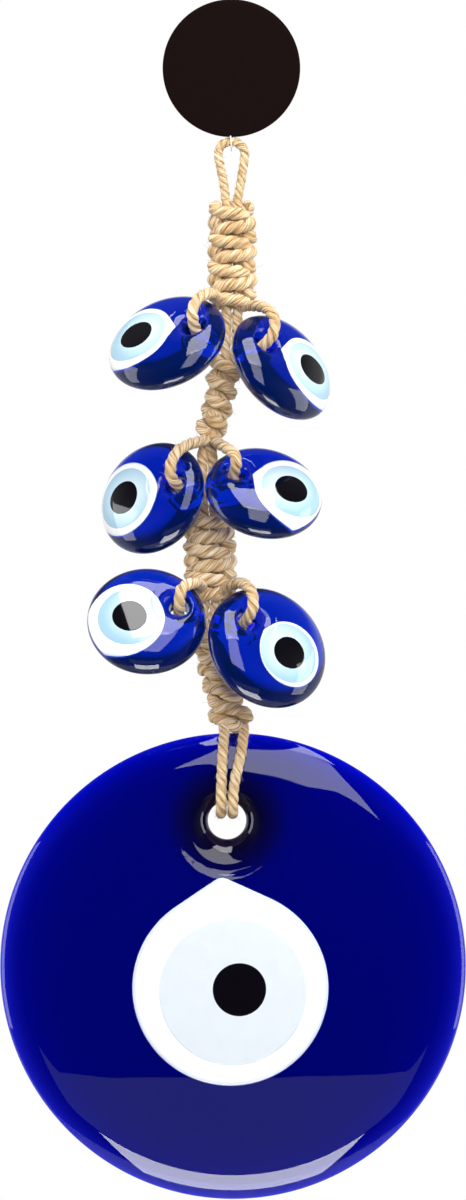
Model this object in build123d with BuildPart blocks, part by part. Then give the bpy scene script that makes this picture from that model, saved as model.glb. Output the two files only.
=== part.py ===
from build123d import *
import math
import os

# Evil eye hanging ornament: a knotted jute braid with a hanging loop, six small glass eyes threaded
# beside the braid, one large glass eye in the cord's bottom loop, and a round card tag on the loop.
# Millimetres, +Z up, the front faces -Y. The origin is the inside top of the hanging loop, where a
# nail bears.

os.makedirs("parts", exist_ok=True)

# Cord
core_diameter = 2.8
knot_cord_diameter = 3.0
spiral_cord_diameter = 2.8
loop_cord_diameter = 2.4
core_spread = 1.45
fit_gap = 0.05
bundle_radius = core_diameter / math.sqrt(2)
bundle_gap = 0.1

# Hanging loop
loop_half_width = 3.3
loop_throat_z = -13.1
loop_throat_half_width = 1.45

# Braid: the points of its centreline in the plane of the ornament, from top to foot
throat_z = -13.9
first_foot = (0.2, -41.0)
second_top = (-0.2, -52.5)
second_foot = (-6.1, -74.5)
third_top = (-5.6, -92.0)
third_foot = (-5.1, -113.0)
fourth_top = (-6.6, -122.0)
fourth_foot = (0.2, -144.8)
first_flex_z = -47.0
second_flex_z = -83.0
third_flex_z = -117.5
flex_gap = 0.8
flat_knot_pitch = 3.6

# Small eyes
small_half_thickness = 5.8
small_rim = 2.8
small_hole_rise = 8.4
small_hole_radius = 2.5
small_iris_radius = 7.2
small_pupil_radius = 4.3
small_pupil_floor = 3.0
small_iris_floor = 2.2
small_white_floor = 1.2

# Large eye
large_radius = 58.25
large_centre = (0.4, -204.5)
large_dome = 7.0
large_back = 3.2
large_rim = 2.8
large_hole = (-1.1, -168.0)
large_hole_radius = 4.75
drop_radius = 24.4
drop_centre = (-0.25, -209.6)
drop_tip = (-2.3, -185.2)
drop_tip_radius = 3.0
large_iris_radius = 18.4
large_iris_centre = (0.4, -210.5)
large_pupil_radius = 6.7
large_pupil_centre = (2.0, -210.0)
large_pupil_floor = 5.2
large_iris_floor = 4.2
large_white_floor = 3.2

# Tag
tag_radius = 17.2
tag_centre_z = 19.9
card_thickness = 0.6
thread_diameter = 0.4


def write(piece, name):
    """Label a finished piece and write it to its own file."""
    piece.part.label = name
    export_step(piece.part, f"parts/{name}.step")


def corner_radii(points):
    """The largest even arc at each corner of a cord's route."""
    radii = []
    for before, corner, after in zip(points, points[1:], points[2:]):
        run_in = Vector(*corner) - Vector(*before)
        run_out = Vector(*after) - Vector(*corner)
        half_turn = math.radians(run_in.get_angle(run_out) / 2)
        radii.append(0.45 * min(run_in.length, run_out.length) / math.tan(half_turn))
    return radii


def cord(points, diameter, name):
    """A round cord along straight runs joined by tangent arcs."""
    radii = corner_radii(points)
    with BuildPart() as tube:
        with BuildLine() as route:
            FilletPolyline(*points, radius=radii)
        with BuildSketch(Plane(origin=route.line @ 0, z_dir=route.line % 0)):
            Circle(diameter / 2)
        sweep(path=route.line)
    length = sum(edge.length for edge in route.edges())
    share = tube.part.volume / (length * math.pi * diameter**2 / 4)
    arcs = ", ".join(f"{radius:.1f}" for radius in radii)
    print(f"{name}: length {length:.1f}, arc radii {arcs}, volume share {share:.3f}")
    return tube.part


def along(start, end, z):
    """The braid's centreline x at a height between two of its points."""
    share = (z - start[1]) / (end[1] - start[1])
    return start[0] + share * (end[0] - start[0])


# ---------------------------------------------------------------- hanging loop
loop_top_z = loop_cord_diameter / 2
loop_arc_centre_z = loop_top_z - loop_half_width
leg_drop = loop_arc_centre_z - loop_throat_z
leg_reach = math.hypot(loop_throat_half_width, leg_drop)
leg_lean = math.asin(loop_half_width / leg_reach) - math.atan2(loop_throat_half_width, leg_drop)
tangent_x = loop_half_width * math.cos(leg_lean)
tangent_z = loop_arc_centre_z - loop_half_width * math.sin(leg_lean)

with BuildPart() as hanging_loop:
    with BuildLine(Plane.XZ) as bight:
        Line((-loop_throat_half_width, loop_throat_z), (-tangent_x, tangent_z))
        ThreePointArc((-tangent_x, tangent_z), (0, loop_top_z), (tangent_x, tangent_z))
        Line((tangent_x, tangent_z), (loop_throat_half_width, loop_throat_z))
    with BuildSketch(Plane(origin=bight.line @ 0, z_dir=bight.line % 0)):
        Circle(loop_cord_diameter / 2)
    sweep(path=bight.line)
bight_length = sum(edge.length for edge in bight.edges())
print(f"hanging_loop: length {bight_length:.1f}, arc radius {loop_half_width}")
write(hanging_loop, "hanging_loop")


# ---------------------------------------------------------------- braid: core cords
def twin_core(start, end, name):
    """The two core cords side by side along a straight stretch, as two separate solids."""
    lean = Vector(end[0] - start[0], 0, end[1] - start[1])
    with BuildPart() as cords:
        with BuildSketch(Plane.XY.offset(start[1])):
            with Locations((start[0] - core_spread, 0), (start[0] + core_spread, 0)):
                Circle(core_diameter / 2)
        extrude(amount=lean.length, dir=lean)
    write(cords, name)


def core_bundle(start, end, name):
    """The two core cords pressed together into one round bundle inside a tight spiral."""
    lean = Vector(end[0] - start[0], 0, end[1] - start[1])
    with BuildPart() as bundle:
        with BuildSketch(Plane.XY.offset(start[1])):
            with Locations((start[0], 0)):
                Circle(bundle_radius)
        extrude(amount=lean.length, dir=lean)
    write(bundle, name)


def flex_point(start, end, z):
    """A point on the braid's centreline at a height."""
    return (along(start, end, z), z)


upper_of_first_flex = flex_point(first_foot, second_top, first_flex_z + flex_gap / 2)
lower_of_first_flex = flex_point(first_foot, second_top, first_flex_z - flex_gap / 2)
upper_of_second_flex = flex_point(second_foot, third_top, second_flex_z + flex_gap / 2)
lower_of_second_flex = flex_point(second_foot, third_top, second_flex_z - flex_gap / 2)
upper_of_third_flex = flex_point(third_foot, fourth_top, third_flex_z + flex_gap / 2)
lower_of_third_flex = flex_point(third_foot, fourth_top, third_flex_z - flex_gap / 2)

twin_core((0.2, throat_z), upper_of_first_flex, "braid_1_core_cords")
twin_core(lower_of_first_flex, second_top, "bare_core_1_cords")
core_bundle(second_top, second_foot, "braid_2_core_cords")
twin_core(second_foot, upper_of_second_flex, "bare_core_2_cords")
twin_core(lower_of_second_flex, third_foot, "braid_3_core_cords")
twin_core(third_foot, upper_of_third_flex, "bare_core_3_cords")
twin_core(lower_of_third_flex, fourth_top, "bare_core_4_cords")
core_bundle(fourth_top, fourth_foot, "braid_4_core_cords")


# ---------------------------------------------------------------- braid: turns of the knotting cord
def flat_knots(start, end, first_z, count, name):
    """Square knots: each half knot is one flat turn of cord round the two core cords."""
    radius = (core_diameter + knot_cord_diameter) / 2 + fit_gap
    with BuildPart() as knots:
        for index in range(count):
            z = first_z - index * flat_knot_pitch
            level = Plane(origin=(along(start, end, z), 0, z))
            with BuildLine(level) as turn:
                Line((-core_spread, radius), (core_spread, radius))
                ThreePointArc((core_spread, radius), (core_spread + radius, 0), (core_spread, -radius))
                Line((core_spread, -radius), (-core_spread, -radius))
                ThreePointArc((-core_spread, -radius), (-core_spread - radius, 0), (-core_spread, radius))
            with BuildSketch(Plane(origin=turn.line @ 0, z_dir=turn.line % 0)):
                Circle(knot_cord_diameter / 2)
            sweep(path=turn.line)
    write(knots, name)


def spiral_knots(start, end, first_z, pitch, count, name):
    """Half knots: each one is a round turn of cord drawn tight on the core bundle."""
    turn_radius = bundle_radius + bundle_gap + spiral_cord_diameter / 2
    with BuildPart() as knots:
        for index in range(count):
            z = first_z - index * pitch
            with Locations((along(start, end, z), 0, z)):
                Torus(turn_radius, spiral_cord_diameter / 2)
    write(knots, name)


flat_knots((0.2, throat_z), first_foot, -16.4, 7, "braid_1_square_knots")
spiral_knots(second_top, second_foot, -54.2, 3.5, 6, "braid_2_half_knots")
flat_knots(third_top, third_foot, -93.6, 6, "braid_3_square_knots")
spiral_knots(fourth_top, fourth_foot, -124.0, 3.2, 7, "braid_4_half_knots")


# ---------------------------------------------------------------- bead strands
# Each end of the knotting cord leaves the foot of a braid at the front, goes through a bead's hole
# from the front, and comes back behind it beside the next braid.
strand_routes = {
    "upper_left": [
        (-3.0, -3.4, -36.6),
        (-4.6, -9.6, -35.2),
        (-8.2, -14.6, -37.0),
        (-10.1, -16.6, -43.2),
        (-5.9, -8.3, -51.5),
        (-4.4, -3.4, -50.2),
    ],
    "upper_right": [
        (3.4, -3.4, -36.8),
        (6.4, -9.6, -36.6),
        (10.0, -14.4, -40.0),
        (9.9, -15.6, -47.6),
        (2.2, -8.2, -54.0),
        (6.2, -1.8, -55.0),
        (5.6, 1.6, -51.2),
    ],
    "middle_left": [
        (-8.6, -3.0, -72.6),
        (-11.8, -7.6, -71.8),
        (-15.4, -11.2, -76.2),
        (-15.7, -12.2, -82.8),
        (-9.9, -2.8, -87.0),
        (-11.6, 1.4, -88.6),
    ],
    "middle_right": [
        (-3.4, -3.0, -72.6),
        (-1.4, -8.6, -71.8),
        (0.6, -13.2, -74.0),
        (1.5, -13.8, -79.0),
        (-0.9, -4.6, -87.6),
        (-0.4, 0.8, -88.8),
    ],
    "lower_left": [
        (-7.0, -3.6, -110.4),
        (-7.2, -10.4, -107.2),
        (-10.6, -16.0, -107.8),
        (-12.9, -15.8, -112.9),
        (-13.2, -4.3, -119.2),
        (-11.6, 0.8, -119.4),
    ],
    "lower_right": [
        (-2.4, -3.6, -110.4),
        (1.2, -8.6, -107.8),
        (5.4, -14.8, -109.6),
        (5.6, -16.6, -116.4),
        (0.1, -6.4, -121.5),
        (-0.8, -1.6, -118.8),
    ],
}
for place, route in strand_routes.items():
    with BuildPart() as strand:
        add(cord(route, knot_cord_diameter, f"strand_{place}"))
    write(strand, f"strand_{place}")


# ---------------------------------------------------------------- large eye's strands
# The bottom bight of the core cords: two strands go down in front of the glass, through its hole,
# and up behind it.
eye_strand_routes = {
    "left": [
        (-1.3, -3.8, -145.9),
        (-2.0, -5.7, -150.5),
        (-2.5, -6.6, -159.0),
        (-2.55, -7.0, -165.4),
        (-2.55, 6.0, -165.4),
        (-2.4, 5.6, -157.0),
        (-1.3, 4.6, -146.0),
    ],
    "right": [
        (1.9, -3.8, -145.9),
        (2.3, -5.7, -150.5),
        (0.7, -6.6, -159.0),
        (0.35, -7.0, -165.4),
        (0.35, 6.0, -165.4),
        (0.6, 5.6, -157.0),
        (1.7, 4.6, -146.0),
    ],
}
for side, route in eye_strand_routes.items():
    with BuildPart() as strand:
        add(cord(route, core_diameter, f"eye_strand_{side}"))
    write(strand, f"eye_strand_{side}")


# ---------------------------------------------------------------- glass
def radial_plane(face):
    """The plane through a face's axis: its x runs outward and its y along the face's normal."""
    return Plane(origin=face.origin, x_dir=face.x_dir, z_dir=-face.y_dir)


def pressed_drop(face, radius):
    """A small eye's glass: two shallow domes that run smoothly into a rounded rim."""
    rim_x = radius - small_rim
    dome_radius = (rim_x**2 + small_half_thickness**2 - small_rim**2) / (2 * (small_half_thickness - small_rim))
    dome_low = small_half_thickness - dome_radius
    dome_turn = math.atan2(rim_x, -dome_low)
    middle = (dome_radius * math.sin(dome_turn / 2), dome_low + dome_radius * math.cos(dome_turn / 2))
    shoulder = (dome_radius * math.sin(dome_turn), dome_low + dome_radius * math.cos(dome_turn))
    with BuildPart() as drop:
        with BuildSketch(radial_plane(face)):
            with BuildLine():
                ThreePointArc((0, small_half_thickness), middle, shoulder)
                ThreePointArc(shoulder, (radius, 0), (shoulder[0], -shoulder[1]))
                ThreePointArc((shoulder[0], -shoulder[1]), (middle[0], -middle[1]), (0, -small_half_thickness))
                Line((0, -small_half_thickness), (0, small_half_thickness))
            make_face()
        revolve(axis=Axis(face.origin, face.z_dir))
    return drop.part


def domed_disc(face):
    """The large eye: a shallow dome in front, a rounded rim and a flat back."""
    rim_x = large_radius - large_rim
    dome_radius = (rim_x**2 + (large_dome - large_rim) ** 2) / (2 * (large_dome - large_rim))
    rise_half_way = large_dome - dome_radius + math.sqrt(dome_radius**2 - rim_x**2 / 4)
    with BuildPart() as disc:
        with BuildSketch(radial_plane(face)):
            with BuildLine():
                ThreePointArc((0, large_dome), (rim_x / 2, rise_half_way), (rim_x, large_rim))
                ThreePointArc((rim_x, large_rim), (large_radius, 0), (rim_x, -large_back))
                Line((rim_x, -large_back), (0, -large_back))
                Line((0, -large_back), (0, large_dome))
            make_face()
        revolve(axis=Axis(face.origin, face.z_dir))
    return disc.part


def punched_hole(face, radius, front, front_flare, back, back_flare, reach):
    """The space of a punched hole: a straight neck that flares out to both faces of the glass."""
    front_x = radius + front_flare[0]
    back_x = radius + back_flare[0]
    with BuildPart() as hole:
        with BuildSketch(radial_plane(face)):
            with BuildLine():
                Line((0, -reach), (back_x, -reach))
                Line((back_x, -reach), (back_x, -back - back_flare[1]))
                EllipticalCenterArc((back_x, -back), *back_flare, start_angle=180, arc_size=90)
                Line((radius, -back), (radius, front))
                EllipticalCenterArc((front_x, front), *front_flare, start_angle=90, arc_size=90)
                Line((front_x, front + front_flare[1]), (front_x, reach))
                Line((front_x, reach), (0, reach))
                Line((0, reach), (0, -reach))
            make_face()
        revolve(axis=Axis(face.origin, face.z_dir))
    return hole.part


def small_eye(place, centre, turn, tip, roll, radius, spot_drop, white_radius):
    """One small eye: cobalt body with a white spot, a pale iris and a black pupil let into its front."""
    stand = Pos(*centre) * Rot(0, 0, turn) * Rot(tip, 0, 0) * Rot(0, roll, 0) * Rot(90, 0, 0)
    face = Plane(stand)
    blank = pressed_drop(face, radius)
    hole_face = Plane(stand * Pos(0, small_hole_rise, 0))
    hole = punched_hole(hole_face, small_hole_radius, 1.6, (4.0, 4.0), 2.6, (2.5, 2.5), 9.0)

    with BuildPart() as pupil:
        add(blank)
        with BuildSketch(face.offset(small_pupil_floor)):
            with Locations((0, -spot_drop)):
                Circle(small_pupil_radius)
        extrude(amount=small_half_thickness, mode=Mode.INTERSECT)
    with BuildPart() as iris:
        add(blank)
        with BuildSketch(face.offset(small_iris_floor)):
            with Locations((0, -spot_drop)):
                Circle(small_iris_radius)
        extrude(amount=small_half_thickness, mode=Mode.INTERSECT)
        add(pupil.part, mode=Mode.SUBTRACT)
        add(hole, mode=Mode.SUBTRACT)
    with BuildPart() as white:
        add(blank)
        with BuildSketch(face.offset(small_white_floor)):
            with Locations((0, -spot_drop)):
                Circle(white_radius)
        extrude(amount=small_half_thickness, mode=Mode.INTERSECT)
        add(iris.part, mode=Mode.SUBTRACT)
        add(pupil.part, mode=Mode.SUBTRACT)
        add(hole, mode=Mode.SUBTRACT)
    with BuildPart() as body:
        add(blank)
        add(white.part, mode=Mode.SUBTRACT)
        add(iris.part, mode=Mode.SUBTRACT)
        add(pupil.part, mode=Mode.SUBTRACT)
        add(hole, mode=Mode.SUBTRACT)
    write(body, f"bead_{place}_glass")
    write(white, f"bead_{place}_white")
    write(iris, f"bead_{place}_iris")
    write(pupil, f"bead_{place}_pupil")


small_eye("upper_left", (-15.9, -10.25, -49.2), -27, -42, 73, 15.3, 6.4, 9.4)
small_eye("upper_right", (12.4, -8.7, -55.2), 47, -31, -53, 15.0, 6.0, 9.4)
small_eye("middle_left", (-19.6, -3.5, -87.6), -33, -20, 71, 14.7, 5.4, 9.4)
small_eye("middle_right", (8.0, -10.0, -86.5), 15, -43, -59, 14.7, 6.4, 9.6)
small_eye("lower_left", (-21.0, -11.25, -118.3), 2, -30, 72, 14.8, 4.6, 9.6)
small_eye("lower_right", (8.8, -11.0, -124.9), 28, -23, -41, 16.0, 4.6, 8.0)

large_face = Plane(origin=(large_centre[0], 0, large_centre[1]), x_dir=(1, 0, 0), z_dir=(0, -1, 0))
large_blank = domed_disc(large_face)
large_hole_face = Plane(origin=(large_hole[0], 0, large_hole[1]), x_dir=(1, 0, 0), z_dir=(0, -1, 0))
large_hole_space = punched_hole(large_hole_face, large_hole_radius, 0.8, (7.5, 4.5), 1.2, (2.4, 2.0), 12.0)


def place_on_large(point):
    """A point of the large eye's front, given as x and z, in its face's own coordinates."""
    return (point[0] - large_centre[0], point[1] - large_centre[1])


with BuildPart() as large_pupil:
    add(large_blank)
    with BuildSketch(large_face.offset(large_pupil_floor)):
        with Locations(place_on_large(large_pupil_centre)):
            Circle(large_pupil_radius)
    extrude(amount=large_dome, mode=Mode.INTERSECT)
with BuildPart() as large_iris:
    add(large_blank)
    with BuildSketch(large_face.offset(large_iris_floor)):
        with Locations(place_on_large(large_iris_centre)):
            Circle(large_iris_radius)
    extrude(amount=large_dome, mode=Mode.INTERSECT)
    add(large_pupil.part, mode=Mode.SUBTRACT)
with BuildPart() as large_white:
    add(large_blank)
    with BuildSketch(large_face.offset(large_white_floor)):
        with Locations(place_on_large(drop_centre)):
            Circle(drop_radius)
        with Locations(place_on_large(drop_tip)):
            Circle(drop_tip_radius)
        make_hull()
    extrude(amount=large_dome, mode=Mode.INTERSECT)
    add(large_iris.part, mode=Mode.SUBTRACT)
    add(large_pupil.part, mode=Mode.SUBTRACT)
with BuildPart() as large_body:
    add(large_blank)
    add(large_white.part, mode=Mode.SUBTRACT)
    add(large_iris.part, mode=Mode.SUBTRACT)
    add(large_pupil.part, mode=Mode.SUBTRACT)
    add(large_hole_space, mode=Mode.SUBTRACT)
write(large_body, "big_eye_glass")
write(large_white, "big_eye_white_drop")
write(large_iris, "big_eye_iris")
write(large_pupil, "big_eye_pupil")


# ---------------------------------------------------------------- tag
# Two cards glued together with the ends of a clear thread between them. The thread goes round the
# top of the hanging loop.
with BuildPart() as tag_back_card:
    with BuildSketch(Plane.XZ):
        with Locations((0, tag_centre_z)):
            Circle(tag_radius)
    extrude(amount=card_thickness)
write(tag_back_card, "tag_back_card")

with BuildPart() as tag_front_card:
    with BuildSketch(Plane.XZ.offset(card_thickness)):
        with Locations((0, tag_centre_z)):
            Circle(tag_radius)
    extrude(amount=card_thickness)
write(tag_front_card, "tag_front_card")

thread_route = [
    (-0.3, -0.6, 9.0),
    (-0.3, -0.6, 3.4),
    (-0.1, -1.8, 2.0),
    (0.0, -1.75, -0.6),
    (0.0, 1.75, -0.6),
    (0.1, 1.75, 2.3),
    (0.3, -0.6, 3.4),
    (0.3, -0.6, 9.0),
]
with BuildPart() as tag_thread:
    add(cord(thread_route, thread_diameter, "tag_thread"))
write(tag_thread, "tag_thread")
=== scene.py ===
"""Evil eye wall ornament: glass eyes on a knotted jute cord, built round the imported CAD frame."""
import math
from typing import NamedTuple

import bmesh
import bpy
import numpy as np
from mathutils import Matrix, Vector


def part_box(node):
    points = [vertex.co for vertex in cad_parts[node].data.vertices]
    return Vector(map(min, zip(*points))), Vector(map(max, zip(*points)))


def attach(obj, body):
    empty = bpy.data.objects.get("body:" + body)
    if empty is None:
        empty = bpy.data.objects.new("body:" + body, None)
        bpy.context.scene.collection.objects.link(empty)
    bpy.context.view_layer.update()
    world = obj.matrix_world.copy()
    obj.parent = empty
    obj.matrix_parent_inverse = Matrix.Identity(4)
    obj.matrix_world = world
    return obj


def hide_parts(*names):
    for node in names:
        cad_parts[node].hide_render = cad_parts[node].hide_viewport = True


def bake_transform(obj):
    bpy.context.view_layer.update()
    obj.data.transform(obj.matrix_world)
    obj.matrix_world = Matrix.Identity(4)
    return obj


MM = 0.001
STRAND = 3.0 * MM
CORE = 2.8 * MM
LOOP_CORD = 2.4 * MM
PLIES = 3
TWIST_PITCH = 2.5  # length of one turn of the plies, in cord diameters
STEP = 0.5 * MM  # distance between the rings of a cord's mesh
PLY_SIDES = 10
PLY_RADIUS = 0.325  # in cord diameters
LAY_RADIUS = 0.172  # how far a ply's middle lies from the cord's, in cord diameters
HAIR_RADIUS = 0.05 * MM

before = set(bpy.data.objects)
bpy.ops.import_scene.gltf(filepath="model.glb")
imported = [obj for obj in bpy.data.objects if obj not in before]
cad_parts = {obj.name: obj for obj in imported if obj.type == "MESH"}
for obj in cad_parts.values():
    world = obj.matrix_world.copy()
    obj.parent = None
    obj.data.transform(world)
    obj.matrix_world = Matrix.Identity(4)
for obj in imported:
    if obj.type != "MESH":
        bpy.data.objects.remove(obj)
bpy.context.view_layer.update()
scene = bpy.context.scene
scene.view_settings.view_transform = "Standard"
random = np.random.default_rng(7)


# ---------------------------------------------------------------- small helpers
def millimetres(*values):
    """A point given in millimetres, in metres."""
    return Vector([value * MM for value in values])


def middle(*nodes):
    """The centre of the box round some CAD nodes."""
    lows, highs = zip(*[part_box(node) for node in nodes])
    low = Vector([min(corner[i] for corner in lows) for i in range(3)])
    high = Vector([max(corner[i] for corner in highs) for i in range(3)])
    return (low + high) / 2


def turned(degrees, axis):
    """A turn about X, Y or Z."""
    return Matrix.Rotation(math.radians(degrees), 4, axis)


def piece(name, vertices, faces, material, uv=None):
    """A smooth mesh object; uv holds one pair per vertex."""
    mesh = bpy.data.meshes.new(name)
    mesh.from_pydata(np.asarray(vertices, float).tolist(), [],
                     [list(dict.fromkeys(face)) for face in np.asarray(faces).tolist()])
    mesh.polygons.foreach_set("use_smooth", [True] * len(mesh.polygons))
    if uv is not None:
        layer = mesh.uv_layers.new(name="UVMap")
        corners = np.zeros(len(mesh.loops), int)
        mesh.loops.foreach_get("vertex_index", corners)
        layer.data.foreach_set("uv", np.asarray(uv, np.float32)[corners].ravel())
    mesh.update()
    made = bpy.data.objects.new(name, mesh)
    scene.collection.objects.link(made)
    mesh.materials.append(material)
    return made


def face_outward(made):
    """Turns a closed piece's faces outward."""
    work = bmesh.new()
    work.from_mesh(made.data)
    bmesh.ops.recalc_face_normals(work, faces=work.faces)
    work.to_mesh(made.data)
    work.free()


def loft(rows, columns, start=0):
    """Quads between successive closed rings of points, the first of which begins at vertex start."""
    ring = np.arange(columns)
    after = (ring + 1) % columns
    quads = []
    for row in range(rows - 1):
        low, high = start + row * columns, start + (row + 1) * columns
        quads.append(np.stack([low + ring, low + after, high + after, high + ring], 1))
    return np.concatenate(quads)


def capped(rings, first, last):
    """A closed piece from rings of points, with a point in the middle of each end."""
    rows, around = len(rings), len(rings[0])
    vertices = np.vstack([*rings, [first, last]])
    ring = np.arange(around)
    after = (ring + 1) % around
    tip = np.full(around, rows * around)
    end = (rows - 1) * around
    starting = np.stack([after, ring, tip, tip], 1)
    closing = np.stack([end + ring, end + after, tip + 1, tip + 1], 1)
    return vertices, np.vstack([loft(rows, around), starting, closing])


# ---------------------------------------------------------------- camera
def set_camera():
    """Straight on, far enough back that the small eyes in front stay in scale."""
    distance, view_height = 1.6, 0.300
    across, height = 0.4 * MM, -113 * MM
    data = bpy.data.cameras.new("camera")
    data.sensor_fit = "VERTICAL"
    data.sensor_height = 36.0
    data.lens = data.sensor_height * distance / view_height
    data.clip_end = 20
    camera = bpy.data.objects.new("camera", data)
    camera.location = (across, -distance, height)
    camera.rotation_euler = (math.radians(90), 0, 0)
    scene.collection.objects.link(camera)
    scene.camera = camera


set_camera()


# ---------------------------------------------------------------- materials
def new_material(name):
    """A material with its nodes, and short ways to add and join them."""
    material = bpy.data.materials.new(name)
    material.use_nodes = True
    nodes, links = material.node_tree.nodes, material.node_tree.links

    def add(kind, **values):
        node = nodes.new(kind)
        for key, value in values.items():
            if key in node.inputs:
                node.inputs[key].default_value = value
            else:
                setattr(node, key, value)
        return node

    return material, nodes["Principled BSDF"], add, links.new


def ramp(add, join, source, stops):
    """A colour ramp over a value: stops are (place, colour)."""
    node = add("ShaderNodeValToRGB")
    while len(node.color_ramp.elements) < len(stops):
        node.color_ramp.elements.new(0.5)
    for element, (place, colour) in zip(node.color_ramp.elements, stops):
        element.position = place
        element.color = (*colour, 1)
    join(source, node.inputs["Fac"])
    return node.outputs["Color"]


def multiplied(add, join, first, second, factor=1.0):
    """One colour times another."""
    node = add("ShaderNodeMix", data_type="RGBA", blend_type="MULTIPLY")
    node.inputs["Factor"].default_value = factor
    join(first, node.inputs["A"])
    join(second, node.inputs["B"])
    return node.outputs["Result"]


def add_relief(add, join, shader, height, strength, distance):
    """Fine relief on a material's surface, up to distance high."""
    bump = add("ShaderNodeBump", Strength=strength, Distance=distance)
    join(height, bump.inputs["Height"])
    join(bump.outputs["Normal"], shader.inputs["Normal"])


FIBRE_SLANT = 0.35  # how far the fibres turn back against the lay of their ply
# Painted shade round each ply: darkest in the creases between plies, lighter on its sides, none on its front.
CREASE_PAINTED_SHADE = (0.25, 0.15, 0.08)
PLY_SIDE_PAINTED_SHADE = (0.88, 0.78, 0.64)
PLY_FRONT = (1, 1, 1)


def jute():
    """Natural jute: pale straw fibres that run along each ply, with painted shade in the creases between the
    plies.
    """
    material, shader, add, join = new_material("jute")
    shader.inputs["Roughness"].default_value = 0.82
    shader.inputs["Sheen Weight"].default_value = 0.35
    shader.inputs["Sheen Roughness"].default_value = 0.4
    shader.inputs["Specular IOR Level"].default_value = 0.25
    place = add("ShaderNodeUVMap", uv_map="UVMap")
    across = add("ShaderNodeSeparateXYZ")
    join(place.outputs["UV"], across.inputs["Vector"])
    unlay = add("ShaderNodeMath", operation="MULTIPLY_ADD")
    join(across.outputs["Y"], unlay.inputs[0])
    unlay.inputs[1].default_value = FIBRE_SLANT
    join(across.outputs["X"], unlay.inputs[2])
    slanted = add("ShaderNodeCombineXYZ")
    join(unlay.outputs["Value"], slanted.inputs["X"])
    join(across.outputs["Y"], slanted.inputs["Y"])
    along = add("ShaderNodeMapping")
    along.inputs["Scale"].default_value = (6.0, 0.45, 1.0)
    join(slanted.outputs["Vector"], along.inputs["Vector"])
    fibres = add("ShaderNodeTexNoise", Scale=2.2, Detail=5.0, Roughness=0.65)
    join(along.outputs["Vector"], fibres.inputs["Vector"])
    lines = ramp(add, join, fibres.outputs["Fac"],
                 [(0.36, (0.24, 0.125, 0.045)), (0.45, (0.68, 0.47, 0.24)), (0.57, (0.99, 0.86, 0.62))])
    # Painted shade: each ply darkens from its front towards the creases where it meets the others.
    crease_shade = ramp(add, join, across.outputs["X"],
                  [(0.12, CREASE_PAINTED_SHADE), (0.30, PLY_SIDE_PAINTED_SHADE), (0.42, PLY_FRONT),
                   (0.58, PLY_FRONT), (0.70, PLY_SIDE_PAINTED_SHADE), (0.88, CREASE_PAINTED_SHADE)])
    where = add("ShaderNodeTexCoord")
    patches = add("ShaderNodeTexNoise", Scale=170.0, Detail=3.0)
    join(where.outputs["Object"], patches.inputs["Vector"])
    tone = ramp(add, join, patches.outputs["Fac"],
                [(0.35, (0.84, 0.74, 0.60)), (0.62, (1.0, 1.0, 1.0))])
    join(multiplied(add, join, multiplied(add, join, lines, crease_shade), tone, 0.9), shader.inputs["Base Color"])
    add_relief(add, join, shader, fibres.outputs["Fac"], 0.8, 0.35 * MM)
    return material


# Painted shade: the near-black tint given to the glass round the big eye's hole.
HOLE_PAINTED_SHADE = (0.012, 0.008, 0.10)


def cobalt(name, tint, depth_colour, density, clear, ripple, hole=None):
    """Fire-polished cobalt glass, bright where it is thin; hole is the centre of a pierced lip darkened with
    painted shade.
    """
    material, shader, add, join = new_material(name)
    shader.inputs["Base Color"].default_value = (*tint, 1)
    shader.inputs["Transmission Weight"].default_value = clear
    shader.inputs["Roughness"].default_value = 0.012
    shader.inputs["IOR"].default_value = 1.5
    depth = add("ShaderNodeVolumeAbsorption", Density=density)
    depth.inputs["Color"].default_value = (*depth_colour, 1)
    output = material.node_tree.nodes["Material Output"]
    join(depth.outputs["Volume"], output.inputs["Volume"])
    where = add("ShaderNodeTexCoord")
    if hole is not None:
        apart = add("ShaderNodeVectorMath", operation="DISTANCE")
        join(where.outputs["Object"], apart.inputs[0])
        apart.inputs[1].default_value = hole
        # Painted shade: the glass is darkened round the hole and fades back to its tint further out.
        hole_shade = ramp(add, join, apart.outputs["Value"],
                     [(5.5 * MM, HOLE_PAINTED_SHADE), (9.5 * MM, HOLE_PAINTED_SHADE), (16.0 * MM, tint)])
        join(hole_shade, shader.inputs["Base Color"])
    waves = add("ShaderNodeTexNoise", Scale=ripple, Detail=1.0)
    join(where.outputs["Object"], waves.inputs["Vector"])
    add_relief(add, join, shader, waves.outputs["Fac"], 0.08, 1.0 * MM)
    return material


def opaque_glass(name, centre, edge, start, tilt=0.0):
    """Opaque poured glass that turns from one colour to another between start and its edge, at 1.

    The UV map holds the patch. tilt moves the colour's centre up in it.
    """
    material, shader, add, join = new_material(name)
    shader.inputs["Roughness"].default_value = 0.04
    shader.inputs["IOR"].default_value = 1.5
    shader.inputs["Coat Weight"].default_value = 0.3
    shader.inputs["Coat Roughness"].default_value = 0.03
    place = add("ShaderNodeUVMap", uv_map="UVMap")
    apart = add("ShaderNodeVectorMath", operation="DISTANCE")
    join(place.outputs["UV"], apart.inputs[0])
    apart.inputs[1].default_value = (0.5, 0.5 + tilt, 0)
    twice = add("ShaderNodeMath", operation="MULTIPLY")
    join(apart.outputs["Value"], twice.inputs[0])
    twice.inputs[1].default_value = 2.0
    colour = ramp(add, join, twice.outputs["Value"], [(0.0, centre), (start, centre), (1.0, edge)])
    where = add("ShaderNodeTexCoord")
    cloud = add("ShaderNodeTexNoise", Scale=260.0, Detail=2.0)
    join(where.outputs["Object"], cloud.inputs["Vector"])
    shade = ramp(add, join, cloud.outputs["Fac"], [(0.3, (0.97, 0.97, 0.97)), (0.7, (1.0, 1.0, 1.0))])
    join(multiplied(add, join, colour, shade), shader.inputs["Base Color"])
    return material


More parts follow.
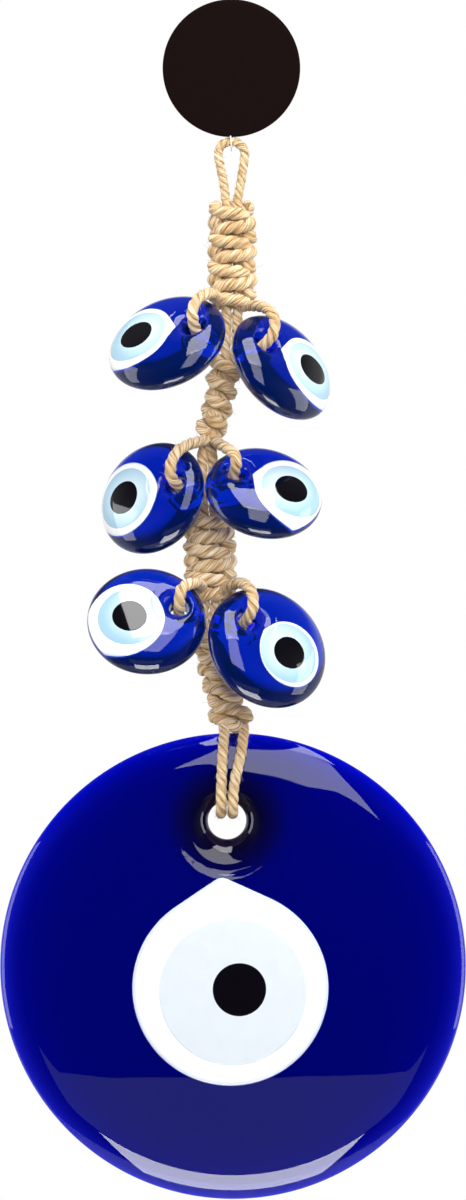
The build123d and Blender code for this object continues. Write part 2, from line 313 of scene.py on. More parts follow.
def card():
    """Matt near-black printed card with a faint paper grain."""
    material, shader, add, join = new_material("tag_card")
    shader.inputs["Roughness"].default_value = 0.7
    shader.inputs["Specular IOR Level"].default_value = 0.05
    where = add("ShaderNodeTexCoord")
    grain = add("ShaderNodeTexNoise", Scale=2600.0, Detail=4.0)
    join(where.outputs["Object"], grain.inputs["Vector"])
    colour = ramp(add, join, grain.outputs["Fac"],
                  [(0.3, (0.0048, 0.0014, 0.0010)), (0.7, (0.0068, 0.0026, 0.0020))])
    join(colour, shader.inputs["Base Color"])
    add_relief(add, join, shader, grain.outputs["Fac"], 0.12, 0.05 * MM)
    return material


def thread_material():
    """Thin pale cotton thread."""
    material, shader, add, join = new_material("tag_thread")
    shader.inputs["Roughness"].default_value = 0.8
    where = add("ShaderNodeTexCoord")
    twist = add("ShaderNodeTexWave", Scale=900.0, Distortion=1.0)
    join(where.outputs["Object"], twist.inputs["Vector"])
    colour = ramp(add, join, twist.outputs["Fac"],
                  [(0.2, (0.62, 0.57, 0.48)), (0.8, (0.85, 0.82, 0.75))])
    join(colour, shader.inputs["Base Color"])
    return material


JUTE = jute()
BIG_COBALT = cobalt("big_cobalt_glass", (0.0015, 0.006, 0.80), (0.05, 0.12, 0.62), 2000.0, 0.835, 45.0,
                    hole=millimetres(-1.1, -4.0, -168.0))
SMALL_COBALT = cobalt("small_cobalt_glass", (0.015, 0.13, 0.94), (0.05, 0.52, 0.865), 520.0, 0.95, 90.0)
WHITE = opaque_glass("white_glass", (0.96, 0.96, 0.955), (0.60, 0.68, 0.93), 0.955)
PALE_BLUE = opaque_glass("pale_blue_glass", (0.62, 0.76, 0.84), (0.36, 0.57, 0.70), 0.45, tilt=0.10)
BIG_PALE_BLUE = opaque_glass("big_pale_blue_glass", (0.775, 0.835, 0.90), (0.775, 0.835, 0.90), 0.9)
BLACK = opaque_glass("black_glass", (0.0035, 0.003, 0.005), (0.006, 0.006, 0.012), 0.9)
CARD = card()
THREAD = thread_material()


# ---------------------------------------------------------------- cords
def route_curve(points):
    """The smooth line of a cord, read from a NURBS spline through its given route."""
    data = bpy.data.curves.new("route", "CURVE")
    data.dimensions = "3D"
    data.resolution_u = 24
    spline = data.splines.new("NURBS")
    spline.points.add(len(points) - 1)
    for point, place in zip(spline.points, points):
        point.co = (*(value * MM for value in place), 1)
    spline.order_u = 3
    spline.use_endpoint_u = True
    holder = bpy.data.objects.new("route", data)
    mesh = bpy.data.meshes.new_from_object(holder)
    line = np.array([vertex.co for vertex in mesh.vertices])
    bpy.data.objects.remove(holder)
    bpy.data.meshes.remove(mesh)
    return line


def even(line):
    """The same line with its points a step apart, and its length."""
    runs = np.linalg.norm(np.diff(line, axis=0), axis=1)
    travelled = np.concatenate([[0], np.cumsum(runs)])
    count = max(4, int(round(travelled[-1] / STEP)) + 1)
    marks = np.linspace(0, travelled[-1], count)
    return np.stack([np.interp(marks, travelled, line[:, i]) for i in range(3)], 1), travelled[-1]


def rounded(points, per):
    """A smooth line through points: a Catmull-Rom curve with per steps between them."""
    points = np.asarray(points, float)
    padded = np.vstack([2 * points[0] - points[1], points, 2 * points[-1] - points[-2]])
    share = np.linspace(0, 1, per, endpoint=False)[:, None]
    parts = []
    for a, b, c, d in zip(padded, padded[1:], padded[2:], padded[3:]):
        parts.append(0.5 * (2 * b + (c - a) * share + (2 * a - 5 * b + 4 * c - d) * share**2
                            + (3 * b - a - 3 * c + d) * share**3))
    return np.vstack([*parts, points[-1:]])


def frames(line):
    """Two steady directions across a line at each of its points."""
    askew = (0.31, 0.17, 0.93)
    ahead = np.gradient(line, axis=0)
    ahead /= np.linalg.norm(ahead, axis=1)[:, None]
    across = np.cross(ahead[0], askew)
    if np.linalg.norm(across) < 0.2:
        across = np.cross(ahead[0], (1.0, 0.0, 0.0))
    sides = []
    for way in ahead:
        across = across - way * np.dot(across, way)
        across = across / np.linalg.norm(across)
        sides.append(across)
    sides = np.array(sides)
    return sides, np.cross(ahead, sides)


def end_cap(ring):
    """Quads across one end of a ply, from the numbers of its ring's vertices."""
    sides = len(ring)
    return [np.array([[ring[step - 1], ring[step], ring[sides - 1 - step], ring[(sides - step) % sides]]])
            for step in range(1, sides // 2)]


def rope(name, line, diameter, hairs=0.9, turn=0.0, pitch=TWIST_PITCH):
    """A cord of three plies laid left-handed round a line, with stray fibres.

    hairs is the number of fibres per millimetre, and pitch is one turn's length in diameters.
    """
    line, length = even(line)
    count = len(line)
    first, second = frames(line)
    travelled = np.linspace(0, length, count)
    ply_radius = PLY_RADIUS * diameter
    lay_radius = LAY_RADIUS * diameter
    round_angle = np.linspace(0, 2 * math.pi, PLY_SIDES, endpoint=False)
    vertices, faces, uv = [], [], []
    total = 0
    wander = np.cumsum(random.normal(0, 0.05, count))
    for ply in range(PLIES):
        angle = turn - 2 * math.pi * (travelled / (pitch * diameter)) + 2 * math.pi * ply / PLIES + wander
        centre = line + lay_radius * (np.cos(angle)[:, None] * first + np.sin(angle)[:, None] * second)
        swell = 1 + 0.05 * np.sin(travelled / diameter * 1.7 + 2.1 * ply) + random.normal(0, 0.012, count)
        lumps = 1 + 0.04 * np.sin(3 * round_angle + ply) + 0.03 * np.sin(5 * round_angle + 2 * ply)
        for row in range(count):
            spin = round_angle + math.pi + angle[row]
            radius = ply_radius * swell[row] * lumps
            ring = (centre[row] + (radius * np.cos(spin))[:, None] * first[row]
                    + (radius * np.sin(spin))[:, None] * second[row])
            vertices.append(ring)
            along = travelled[row] / (2 * math.pi * ply_radius) + 7.3 * ply
            uv.append(np.stack([round_angle / (2 * math.pi), np.full(PLY_SIDES, along)], 1))
        faces.append(loft(count, PLY_SIDES, total))
        first_ring = total + np.arange(PLY_SIDES)
        last_ring = total + (count - 1) * PLY_SIDES + np.arange(PLY_SIDES)
        faces += end_cap(first_ring[::-1]) + end_cap(last_ring)
        total += count * PLY_SIDES
    hair_vertices, hair_faces = stray_fibres(line, first, second, diameter, hairs * length / MM, total)
    vertices.append(hair_vertices)
    faces.append(hair_faces)
    uv.append(np.tile([[0.5, 0.2]], (len(hair_vertices), 1)))
    made = piece(name, np.vstack(vertices), np.vstack(faces), JUTE, np.vstack(uv))
    return made


def stray_fibres(line, first, second, diameter, count, start):
    """Fine fibres that spring from a cord's surface and curl along it.

    start is the number of their first vertex in the cord's mesh.
    """
    vertices, faces = [], []
    sides, rows = 3, 7
    thick = HAIR_RADIUS * np.linspace(1, 0.45, rows)
    around = np.linspace(0, 2 * math.pi, sides, endpoint=False)
    for _ in range(int(count)):
        at = random.integers(1, len(line) - 1)
        angle = random.uniform(0, 2 * math.pi)
        out = math.cos(angle) * first[at] + math.sin(angle) * second[at]
        ahead = np.cross(first[at], second[at]) * random.choice([-1, 1])
        side = np.cross(out, ahead)
        reach = diameter * random.uniform(0.10, 0.44)
        span = diameter * random.uniform(0.4, 1.1)
        curl = diameter * random.uniform(-0.3, 0.3)
        root = line[at] + out * diameter * 0.42
        share = np.linspace(0, 1, rows)[:, None]
        hair = root + out * reach * share**1.4 + ahead * span * share * (1 - 0.35 * share) \
            + side * curl * np.sin(share * 2.2)
        for row in range(rows):
            vertices.append(hair[row] + thick[row] * (np.cos(around)[:, None] * out
                                                      + np.sin(around)[:, None] * side))
        faces.append(loft(rows, sides, start))
        end = start + (rows - 1) * sides
        faces.append(np.array([[start, start + 1, start + 2, start + 2]]))
        faces.append(np.array([[end + 2, end + 1, end, end]]))
        start += rows * sides
    return np.vstack(vertices), np.vstack(faces)


def free_cord(name, route, diameter, length, lay, body, node, **twist):
    """One free cord along its route, in place of its CAD solid; length, in millimetres, is not used."""
    line = route_curve(route)
    made = rope(name, line, diameter, **twist)
    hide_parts(node)
    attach(made, body)


# Lengths and routes are in millimetres. A bead's strand runs from a braid's foot to the front of the bead,
# through its hole and back to the cord. An eye strand runs from the last knot through the big eye and up
# behind it. A row of STRANDS is the body that the strand rides on, its length and its route, and a row of
# EYE_STRANDS is the length and the route.
LOOP_ROUTE = [
    (-1.45, 0, -13.1),
    (-1.8, 0, -9.2),
    (-2.8, 0, -4.6),
    (-3.5, 0, -0.4),
    (-1.6, 0, 1.55),
    (1.5, 0, 1.55),
    (3.6, 0, -0.6),
    (2.9, 0, -5.0),
    (2.3, 0, -9.2),
    (1.45, 0, -13.1),
]
STRANDS = {
    "upper_left": ("braid_1", 35.7, [
        (-3.0, -1.0, -38.2),
        (-4.2, -8.8, -36.2),
        (-9.0, -15.6, -38.2),
        (-10.1, -16.8, -43.8),
        (-5.9, -8.3, -51.5),
        (-4.4, -3.4, -50.2),
    ]),
    "upper_right": ("braid_1", 43.7, [
        (3.2, -1.0, -39.6),
        (7.2, -8.3, -39.4),
        (11.0, -14.6, -42.6),
        (10.4, -15.8, -48.4),
        (2.2, -8.2, -54.0),
        (6.6, -2.0, -54.8),
        (6.6, 1.2, -51.8),
    ]),
    "middle_left": ("braid_2", 33.9, [
        (-5.8, -1.4, -73.0),
        (-9.6, -6.2, -73.6),
        (-14.4, -10.8, -76.4),
        (-15.7, -12.2, -82.8),
        (-9.9, -2.8, -87.0),
        (-11.6, 1.4, -88.6),
    ]),
    "middle_right": ("braid_2", 33.9, [
        (-4.6, -1.4, -73.0),
        (-2.6, -7.0, -74.4),
        (0.8, -12.6, -76.6),
        (1.5, -13.8, -79.0),
        (-0.9, -4.6, -87.4),
        (-0.3, 0.9, -87.9),
    ]),
    "lower_left": ("braid_3", 36.5, [
        (-7.0, -1.4, -110.2),
        (-8.0, -9.0, -108.2),
        (-12.8, -15.7, -109.8),
        (-12.8, -15.8, -114.6),
        (-13.2, -4.3, -119.2),
        (-11.6, 0.8, -119.4),
    ]),
    "lower_right": ("braid_3", 37.3, [
        (-2.6, -2.4, -111.4),
        (0.8, -8.8, -108.1),
        (5.2, -15.0, -109.9),
        (5.6, -16.6, -116.4),
        (0.1, -6.4, -121.5),
        (-0.8, -1.6, -118.8),
    ]),
}
EYE_STRANDS = {
    "left": (49.4, [
        (-1.6, -2.6, -144.0),
        (-2.1, -5.9, -149.8),
        (-2.5, -6.6, -159.0),
        (-2.55, -7.0, -163.8),
        (-2.55, -4.8, -166.3),
        (-2.55, 3.6, -166.3),
        (-2.55, 5.6, -163.8),
        (-2.4, 5.2, -156.0),
        (-1.1, 2.4, -147.6),
    ]),
    "right": (49.5, [
        (3.1, -2.8, -144.4),
        (2.9, -6.1, -149.8),
        (0.6, -6.8, -158.5),
        (0.35, -7.0, -163.8),
        (0.35, -4.8, -166.3),
        (0.35, 3.6, -166.3),
        (0.35, 5.6, -163.8),
        (0.6, 5.2, -156.0),
        (1.6, 2.6, -147.0),
    ]),
}
free_cord("hanging_loop_cord", LOOP_ROUTE, LOOP_CORD, 32.7, "taut", "hanger", "hanging_loop")
for place, (body, length, route) in STRANDS.items():
    free_cord(f"strand_{place}_cord", route, STRAND, length, "hanging", body, f"strand_{place}")
for side, (length, route) in EYE_STRANDS.items():
    free_cord(f"eye_strand_{side}_cord", route, CORE, length, "taut", "eye_loop", f"eye_strand_{side}",
              hairs=1.5)


# ---------------------------------------------------------------- braid: knotting cords
KNOT_FRONT = 2.75  # how far in front of the centreline a turn crosses, mm
KNOT_BEND = 4.45  # how far out it bends round the other cord, mm
KNOT_PITCH = 3.6  # the distance between half knots that these two go with, mm
SPIRAL_TURN = 35  # how far each half knot of a spiral turns past the one before, degrees


class Braid(NamedTuple):
    """A row of half knots round the core cords, in millimetres."""

    node: str  # the CAD solid it stands for
    top: tuple  # x and z of one point of its centreline
    foot: tuple  # and of another
    first_z: float  # height of the first half knot
    pitch: float  # distance from one half knot to the next
    widths: tuple  # each half knot's width, as a share
    spiral: bool  # whether every half knot starts from the same side
    cord: float  # diameter of the knotting cord
    depth: float  # front to back size, as a share

    def x_at(self, z):
        """The centreline's x at height z."""
        (x0, z0), (x1, z1) = self.top, self.foot
        return x0 + (z - z0) / (z1 - z0) * (x1 - x0)


def half_knot(sign, slope):
    """The front cord's way through a half knot, as x, y and rise: round the bend, across, and out behind.

    sign is 1 where it crosses to the right, and slope is how steeply it falls on the way.
    """
    return [
        (-sign * (KNOT_BEND - 0.3), 0.9, 1.9),
        (-sign * (KNOT_BEND + 0.1), -1.2, 0.9),
        (-sign * 2.4, -KNOT_FRONT + 0.1, slope * 0.5),
        (sign * 0.4, -KNOT_FRONT - 0.15, -0.1),
        (sign * 2.7, -KNOT_FRONT + 0.7, -slope * 0.5 - 0.3),
        (sign * 3.3, -0.6, -0.9),
    ]


def knotting_cords(body, braid):
    """The two knotting cords of one braid, each along its own way through every half knot."""
    ways = {"first": [], "second": []}
    slope = 1.4 if braid.spiral else 0.3
    for index, width in enumerate(braid.widths):
        z = braid.first_z - index * braid.pitch
        turn = math.radians(SPIRAL_TURN * index) if braid.spiral else 0.0
        sign = 1 if braid.spiral or index % 2 == 0 else -1
        front = "first" if not braid.spiral or index % 2 == 0 else "second"
        aside, _, lift = random.normal(0, 0.10, 3)
        for name in ways:
            flip = 1 if name == front else -1
            for x, y, rise in half_knot(sign, slope):
                x, y = flip * x * width, flip * y * braid.depth
                ways[name].append((
                    braid.x_at(z) + x * math.cos(turn) - y * math.sin(turn) + aside,
                    x * math.sin(turn) + y * math.cos(turn),
                    z + rise * braid.pitch / KNOT_PITCH + lift))
    for name, way in ways.items():
        line = rounded(np.array(way) * MM, per=8)
        made = rope(f"{body}_{name}_knotting_cord", line, braid.cord * MM, hairs=0.6,
                    turn=random.uniform(0, 2), pitch=2.6)
        if name == "first":
            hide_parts(braid.node)
        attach(made, body)


BRAIDS = {
    "braid_1": Braid("braid_1_square_knots", top=(0.2, -13.9), foot=(0.2, -41.0), first_z=-16.4, pitch=3.6,
                     widths=(0.92, 0.98, 1.0, 1.0, 1.0, 1.02, 1.02), spiral=False, cord=3.4, depth=1.0),
    "braid_2": Braid("braid_2_half_knots", top=(-0.2, -52.5), foot=(-6.1, -74.5), first_z=-55.0, pitch=5.0,
                     widths=(0.70, 0.62, 0.56, 0.48), spiral=True, cord=3.3, depth=0.86),
    "braid_3": Braid("braid_3_square_knots", top=(-5.6, -92.0), foot=(-5.1, -113.0), first_z=-93.6, pitch=3.6,
                     widths=(0.92, 1.06, 1.10, 1.10, 1.08, 1.02), spiral=False, cord=3.5, depth=1.0),
    "braid_4": Braid("braid_4_half_knots", top=(-6.6, -122.0), foot=(0.2, -144.8), first_z=-124.2, pitch=4.8,
                     widths=(0.48, 0.60, 0.74, 0.90, 0.98), spiral=True, cord=3.6, depth=0.92),
}
for body, braid in BRAIDS.items():
    knotting_cords(body, braid)


# ---------------------------------------------------------------- braid: core cords
# The braid's centreline, as x and the depth below the origin, and how far each core cord stands from it, as
# depth and distance: the spirals pull the cores together. All in mm.
CENTRELINE = [(0.2, 13.0), (0.2, 41.0), (-0.2, 52.5), (-6.1, 74.5),
              (-5.6, 92.0), (-5.1, 113.0), (-6.6, 122.0), (0.2, 144.8)]
CORE_SPREAD = [(50, 1.35), (56, 0.7), (72, 0.7), (78, 1.35),
               (118, 1.35), (124, 0.7), (132, 0.8), (140, 1.35)]


class Core(NamedTuple):
    """A stretch of the two core cords, in millimetres."""

    top: float
    foot: float
    above: str  # the body that its upper part rides on
    below: str  # the body that its lower part rides on, if it crosses a flex
    flex_z: float
    nodes: tuple  # the CAD solids it stands for


CORES = {
    "core_1": Core(-13.0, -62.0, "braid_1", "braid_2", -47.0, ("braid_1_core_cords", "bare_core_1_cords")),
    "core_2": Core(-61.0, -101.0, "braid_2", "braid_3", -83.0, ("braid_2_core_cords", "bare_core_2_cords")),
    "core_3": Core(-100.0, -131.0, "braid_3", "braid_4", -117.5,
                   ("braid_3_core_cords", "bare_core_3_cords", "bare_core_4_cords")),
    "core_4": Core(-130.0, -145.6, "braid_4", None, None, ("braid_4_core_cords",)),
}


def centre_x(z):
    """The braid's centreline x at a height, eased through its corners, in mm."""
    xs, depths = zip(*CENTRELINE)
    return float(np.mean([np.interp(-z + shift, depths, xs) for shift in (-2.5, -1.2, 0, 1.2, 2.5)]))


def core_cords(name, core):
    """Two core cords side by side; where they cross a flex they are baked in place and ride on no body."""
    heights = np.arange(core.top, core.foot, -1.0)
    centres = np.array([centre_x(z) for z in heights])
    apart = np.interp(-heights, *zip(*CORE_SPREAD))
    sway = 0.25 * np.sin(heights * 0.4)
    for side, label in ((-1, "left"), (1, "right")):
        line = np.stack([centres + side * apart, sway, heights], 1)
        made = rope(f"{name}_cord_{label}", line * MM, CORE, hairs=0.15, turn=side * 0.8)
        if label == "left":
            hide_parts(*core.nodes)
        if core.below is None:
            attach(made, core.above)
        else:
            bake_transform(made)


for name, core in CORES.items():
    core_cords(name, core)


# ---------------------------------------------------------------- glass
def soft_min(a, b, width):
    """The lower of two heights, rounded where they cross."""
    return -width * np.logaddexp(-a / width, -b / width)


class Blank(NamedTuple):
    """The outline of a glass eye in its own millimetres: x to the side, y up, z to the front."""

    radius: float
    front: float  # height of the front face in the middle
    back: float  # and of the back face
    bend: float  # radius of both domes
    turn_in: float  # width of the band that turns down into the rim
    hole: tuple  # centre of the hole
    neck: float  # radius of the hole where it is narrowest
    front_flare: tuple  # the lip in front: its height at the neck, its width, and how far it rises
    back_flare: tuple  # the lip behind
    turn_power: float = 2.3  # how suddenly the rim turns down
    blend: float = 0.25  # rounding between the lip and the dome

    def dome(self, reach, height):
        """The height of one face at a distance from the centre: a shallow dome, turned down at the rim."""
        cap = height - self.bend + np.sqrt(self.bend**2 - reach**2)
        start = self.radius - self.turn_in
        share = np.clip((reach - start) / self.turn_in, 0, 1)
        return cap * np.sqrt(np.clip(1 - share**self.turn_power, 0, 1))

    @staticmethod
    def flare(away, low, across, up):
        """The height of a hole's rounded lip at a distance from its neck; past it, well above the dome."""
        share = np.clip(away / across, 0, 1)
        lip = low + up * np.sqrt(1 - (1 - share) ** 2)
        return np.where(away > across, lip + 8 * (away / across - 1), lip)

    def heights(self, x, y):
        """Front and back heights of the glass at points across it."""
        reach = np.hypot(x, y)
        away = np.hypot(x - self.hole[0], y - self.hole[1]) - self.neck
        front = soft_min(self.dome(reach, self.front), self.flare(away, *self.front_flare), self.blend)
        back = soft_min(self.dome(reach, self.back), self.flare(away, *self.back_flare), self.blend)
        return front, -back

    def body(self, around, rows):
        """Vertices and faces of the pierced glass: rings run from the hole's neck out to the rim and back."""
        share = np.linspace(0, 1, rows)
        ease = share**2 * (3 - 2 * share)
        angle = np.linspace(0, 2 * math.pi, around, endpoint=False)
        rings = []
        for grown in ease:
            centre = np.array(self.hole) * (1 - grown)
            ring_radius = self.neck + (self.radius - self.neck) * grown
            x = centre[0] + ring_radius * np.cos(angle)
            y = centre[1] + ring_radius * np.sin(angle)
            front, back = self.heights(x, y)
            rings.append((x, y, front, back))
        outward = [np.stack([x, y, front], 1) for x, y, front, _ in rings]
        inward = [np.stack([x, y, back], 1) for x, y, _, back in rings[-2::-1]]
        vertices = np.vstack(outward + inward)
        count = len(outward) + len(inward)
        faces = loft(count, around)
        last = (count - 1) * around
        ring = np.arange(around)
        after = (ring + 1) % around
        closing = np.stack([last + ring, last + after, after, ring], 1)
        return vertices, np.vstack([faces, closing])

    def patch(self, centre, outline, lift, depth):
        """A thin plate of glass that follows the front: outline gives its radius at each angle."""
        around, rows, margin = 176, 56, 0.2
        angle = np.linspace(0, 2 * math.pi, around, endpoint=False)
        radius = outline(angle)
        tops, flats = [], []
        for share in np.linspace(0, 1, rows + 1)[1:]:
            x = centre[0] + radius * share * np.cos(angle)
            y = centre[1] + radius * share * np.sin(angle)
            reach = np.hypot(x, y)
            limit = self.radius - margin
            pull = np.where(reach > limit, limit / np.maximum(reach, 1e-6), 1.0)
            x, y = x * pull, y * pull
            front, _ = self.heights(x, y)
            edge = np.clip((1 - share) / 0.06, 0, 1)
            tops.append(np.stack([x, y, front + lift * (0.7 + 0.3 * np.sqrt(edge))], 1))
            flats.append(np.stack([share * np.cos(angle), share * np.sin(angle)], 1))
        under = tops[-1].copy()
        under[:, 2] -= np.minimum(depth, 0.75 * np.maximum(under[:, 2], 0.1))
        inner = tops[0].copy()
        inner[:, 2] -= depth
        rings = tops + [under, inner]
        flats = flats + [flats[-1], flats[0]]
        top = self.heights(np.array([centre[0]]), np.array([centre[1]]))[0][0] + lift
        vertices, faces = capped(rings, (*centre, top), (*centre, top - depth))
        return vertices, faces, np.vstack([*flats, np.zeros((2, 2))]) * 0.5 + 0.5


def hull_outline(centre, circles):
    """The radius, seen from centre at each angle, of the band drawn tight round some circles."""
    fine = np.linspace(0, 2 * math.pi, 720, endpoint=False)
    points = np.vstack([np.stack([x + r * np.cos(fine), y + r * np.sin(fine)], 1) for x, y, r in circles])
    points = points - np.array(centre)
    ways = np.stack([np.cos(fine), np.sin(fine)], 1)
    support = (points @ ways.T).max(0)

    def radius(angle):
        """The nearest of the tight band's tangent lines along each direction."""
        facing = np.cos(angle[:, None] - fine[None, :])
        reach = np.where(facing > 0.05, support[None, :] / np.maximum(facing, 0.05), 1e9)
        return reach.min(1)

    return radius


def glass_piece(name, made, place, material, node, body):
    """Puts a glass mesh, made in its eye's own millimetres, where the eye stands."""
    vertices, faces, *uv = made
    matrix = np.array(place)
    world = vertices @ matrix[:3, :3].T * MM + matrix[:3, 3]
    result = piece(name, world, faces, material, uv[0] if uv else None)
    face_outward(result)
    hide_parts(node)
    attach(result, body)


def glass_eye(name, white_node, place, blank, body, white, iris, pupil, glass_look, iris_look):
    """A glass eye: the pierced blue body and its white, pale blue and black plates, each a little proud.

    Each plate is given as its centre and its outline.
    """
    glass_piece(f"{name}_body", body, place, glass_look, f"{name}_glass", name)
    glass_piece(f"{name}_white_spot", blank.patch(*white, lift=0.05, depth=0.9), place, WHITE,
                white_node, name)
    glass_piece(f"{name}_iris_spot", blank.patch(*iris, lift=0.07, depth=0.6), place, iris_look,
                f"{name}_iris", name)
    glass_piece(f"{name}_pupil_spot", blank.patch(*pupil, lift=0.09, depth=0.4), place, BLACK,
                f"{name}_pupil", name)


def circle(radius, uneven, phase):
    """A round outline, a little uneven as hand-dropped glass is."""
    return lambda angle: radius * (1 + uneven * np.sin(2 * angle + phase) + 0.5 * uneven * np.sin(3 * angle))


# Sizes that all small eyes share, in millimetres.
SMALL_HOLE_RISE = 8.4
SMALL_HOLE_RADIUS = 2.5
SMALL_HALF_THICKNESS = 5.5
SMALL_IRIS = 7.8
SMALL_PUPIL = 4.3
SMALL_TIP_RADIUS = 0.7  # of the white's point
SMALL_TIP_GAP = 2.0  # from the white's point to the hole


class SmallEye(NamedTuple):
    """How a small eye leans, in degrees, and the sizes of its glasses, in millimetres."""

    turn: float  # about the vertical
    tip: float  # face up
    roll: float  # in its own plane
    radius: float
    drop: float  # how far the iris and pupil sit below the middle
    white_radius: float
    white_across: float  # how far the white is pushed past the iris
    white_up: float


SMALL_EYES = {
    "upper_left": SmallEye(-27, -42, 73, 15.3, 6.4, 9.5, 0.0, -0.3),
    "upper_right": SmallEye(47, -31, -53, 15.0, 6.0, 9.5, 0.0, -0.3),
    "middle_left": SmallEye(-33, -20, 71, 14.7, 5.4, 9.5, 0.0, 0.0),
    "middle_right": SmallEye(15, -43, -59, 14.7, 6.4, 10.4, 0.3, -1.0),
    "lower_left": SmallEye(2, -30, 72, 14.8, 4.6, 9.8, 0.0, -1.1),
    "lower_right": SmallEye(28, -23, -41, 16.0, 4.6, 8.5, 0.2, -0.3),
}


def small_eyes():
    """The six small eyes, each standing where its CAD glass stands."""
    for place, eye in SMALL_EYES.items():
        name = f"bead_{place}"
        stand = (Matrix.Translation(middle(f"{name}_glass", f"{name}_white")) @ turned(eye.turn, "Z")
                 @ turned(eye.tip, "X") @ turned(eye.roll, "Y") @ turned(90, "X"))
        blank = Blank(eye.radius, front=SMALL_HALF_THICKNESS, back=SMALL_HALF_THICKNESS, bend=55.0,
                      turn_in=6.4, hole=(0, SMALL_HOLE_RISE), neck=SMALL_HOLE_RADIUS,
                      front_flare=(1.6, 4.2, 3.6), back_flare=(2.6, 2.5, 2.2))
        tip_y = SMALL_HOLE_RISE - SMALL_HOLE_RADIUS - SMALL_TIP_GAP - SMALL_TIP_RADIUS
        spot = (0, -eye.drop)
        white = hull_outline(spot, [(eye.white_across, eye.white_up - eye.drop, eye.white_radius),
                                    (0, tip_y, SMALL_TIP_RADIUS)])
        phase = eye.turn * 0.1
        glass_eye(name, f"{name}_white", stand, blank, blank.body(around=176, rows=84), (spot, white),
                  (spot, circle(SMALL_IRIS, 0.012, phase)), (spot, circle(SMALL_PUPIL, 0.02, phase)),
                  SMALL_COBALT, PALE_BLUE)


def big_eye():
    """The big eye: a broad dome with a pierced top and a white drop whose tip points at the hole."""
    low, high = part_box("big_eye_glass")
    radius = (high.x - low.x) / 2 / MM
    centre = Vector(((low.x + high.x) / 2, 0, (low.z + high.z) / 2))
    stand = Matrix.Translation(centre) @ turned(90, "X")
    blank = Blank(radius, front=7.0, back=3.2, bend=370.0, turn_in=7.2, hole=(-1.5, 36.5), neck=4.75,
                  front_flare=(0.8, 8.3, 4.8), back_flare=(1.2, 2.4, 2.0))
    drop_low, drop_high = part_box("big_eye_white_drop")
    drop_radius = (drop_high.x - drop_low.x) / 2 / MM
    drop = ((drop_low.x + drop_high.x) / 2 / MM - centre.x / MM,
            drop_low.z / MM + drop_radius - centre.z / MM)
    tip_radius, tip_shift = 3.0, -2.05
    tip = (drop[0] + tip_shift, drop_high.z / MM - tip_radius - centre.z / MM)
    white = hull_outline(drop, [(*drop, drop_radius), (*tip, tip_radius)])

    def round_spot(node, uneven, phase):
        """A CAD spot's centre across the eye and its outline, in the eye's own millimetres."""
        spot_low, spot_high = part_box(node)
        spot = middle(node)
        return (((spot.x - centre.x) / MM, (spot.z - centre.z) / MM),
                circle((spot_high.x - spot_low.x) / 2 / MM, uneven, phase))

    glass_eye("big_eye", "big_eye_white_drop", stand, blank, blank.body(around=256, rows=120), (drop, white),
              round_spot("big_eye_iris", 0.004, 1.0), round_spot("big_eye_pupil", 0.006, 0.4),
              BIG_COBALT, BIG_PALE_BLUE)


small_eyes()
big_eye()


# ---------------------------------------------------------------- tag
def tag_card(name, node):
    """One round card with softly pressed edges."""
    low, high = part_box(node)
    radius = (high.x - low.x) / 2
    centre = (low + high) / 2
    half = (high.y - low.y) / 2
    bevel = 0.12 * MM
    face = (0.35, 0.7, 0.93)
    profile = [(radius * share, -half) for share in face]
    profile += [(radius - bevel, -half), (radius - 0.3 * bevel, -half + 0.3 * bevel), (radius, -half + bevel),
                (radius, half - bevel), (radius - 0.3 * bevel, half - 0.3 * bevel), (radius - bevel, half)]
    profile += [(radius * share, half) for share in face[::-1]]
    around = 160
    angle = np.linspace(0, 2 * math.pi, around, endpoint=False)
    rings = [np.stack([centre.x + r * np.cos(angle), np.full(around, centre.y + y),
                       centre.z + r * np.sin(angle)], 1) for r, y in profile]
    front, back = (centre.x, centre.y - half, centre.z), (centre.x, centre.y + half, centre.z)
    vertices, faces = capped(rings, front, back)
    made = piece(name, vertices, faces, CARD)
    face_outward(made)
    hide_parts(node)
    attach(made, "tag")


tag_card("tag_front", "tag_front_card")
tag_card("tag_back", "tag_back_card")
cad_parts["tag_thread"].data.materials.clear()
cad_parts["tag_thread"].data.materials.append(THREAD)


# ---------------------------------------------------------------- floor and light
def floor():
    """A pale round floor well below the ornament."""
    mesh = bpy.data.meshes.new("floor")
    around, radius, height = 96, 0.8, -0.95
    angle = np.linspace(0, 2 * math.pi, around, endpoint=False)
    points = np.stack([radius * np.cos(angle), radius * np.sin(angle), np.full(around, height)], 1)
    mesh.from_pydata(points.tolist(), [], [list(range(around))])
    made = bpy.data.objects.new("floor", mesh)
    scene.collection.objects.link(made)
    material, shader, _, _ = new_material("floor")
    shader.inputs["Base Color"].default_value = (0.80, 0.80, 0.80, 1)
    shader.inputs["Roughness"].default_value = 0.7
    mesh.materials.append(material)


def softbox(name, where, size, radiance, aim=(0.0, 0.0, -0.15), roll=0.0, lights=True, mirrors=True):
    """A rectangular softbox that faces aim and is as bright as it says all over.

    lights says whether it lights matt surfaces, and mirrors whether glass shows it.
    """
    data = bpy.data.lights.new(name, "AREA")
    data.shape = "RECTANGLE"
    data.size, data.size_y = size
    data.energy = radiance * math.pi * size[0] * size[1]
    lamp = bpy.data.objects.new(name, data)
    lamp.location = where
    facing = (Vector(aim) - Vector(where)).to_track_quat("-Z", "Y")
    lamp.rotation_euler = (facing.to_matrix().to_4x4() @ turned(roll, "Z")).to_euler()
    lamp.visible_diffuse = lights
    lamp.visible_glossy = lamp.visible_transmission = mirrors
    scene.collection.objects.link(lamp)


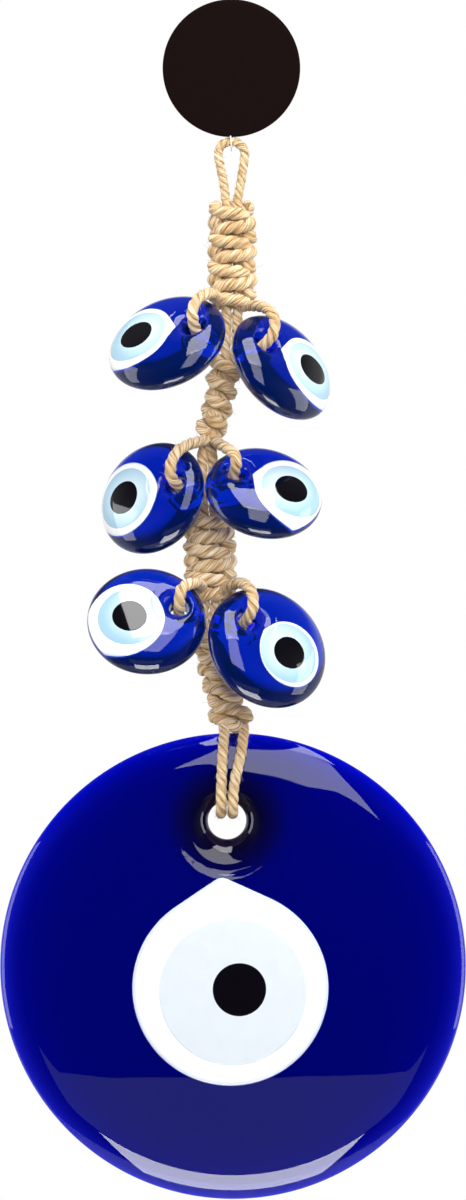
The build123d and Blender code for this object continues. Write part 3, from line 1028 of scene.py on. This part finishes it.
def surroundings():
    """A white wall behind the ornament, and a dim ceiling and front, so that the glass keeps its depth."""
    world = bpy.data.worlds.new("room")
    scene.world = world
    world.use_nodes = True
    nodes, join = world.node_tree.nodes, world.node_tree.links.new
    place = nodes.new("ShaderNodeTexCoord")
    split = nodes.new("ShaderNodeSeparateXYZ")
    join(place.outputs["Generated"], split.inputs["Vector"])

    def shade(axis, stops):
        """Brightness along one axis of the room, from -1 to 1."""
        stretch = nodes.new("ShaderNodeMapRange")
        stretch.inputs["From Min"].default_value = -1
        join(split.outputs[axis], stretch.inputs["Value"])
        return ramp(nodes.new, join, stretch.outputs["Result"],
                    [(at, (value, value, value * 1.01)) for at, value in stops])

    room = nodes["Background"]
    join(shade("Y", [(0.0, 0.0), (0.05, 0.0), (0.14, 0.05), (0.45, 0.24), (0.60, 0.95), (1.0, 1.0)]),
         room.inputs["Color"])
    join(shade("Z", [(0.0, 1.0), (0.66, 1.0), (0.78, 0.12), (1.0, 0.12)]), room.inputs["Strength"])
    plain = nodes.new("ShaderNodeBackground")
    plain.inputs["Color"].default_value = (1, 1, 1, 1)
    pick = nodes.new("ShaderNodeMixShader")
    rays = nodes.new("ShaderNodeLightPath")
    join(rays.outputs["Is Camera Ray"], pick.inputs["Fac"])
    join(room.outputs["Background"], pick.inputs[1])
    join(plain.outputs["Background"], pick.inputs[2])
    join(pick.outputs["Shader"], nodes["World Output"].inputs["Surface"])


floor()
surroundings()
softbox("top_softbox", (0.1, -0.42, 0.80), (0.6, 0.75), 7.0)
softbox("upper_front_softbox", (0.17, -1.03, 0.45), (0.50, 0.77), 3.8, roll=-14)
softbox("lower_front_softbox", (0.0, -0.54, -0.71), (0.52, 0.36), 10.0, aim=(0, 0, -0.26), lights=False)
softbox("table_glow", (0.0, -1.13, -0.63), (1.1, 0.28), 0.37, aim=(0, 0, -0.24), lights=False)
softbox("fill", (0.12, -1.05, 0.16), (0.7, 0.7), 4.8, mirrors=False)
softbox("left_softbox", (-1.0, -0.15, -0.1), (0.4, 0.9), 3.5)
softbox("right_softbox", (1.0, -0.15, -0.1), (0.4, 0.9), 3.5)
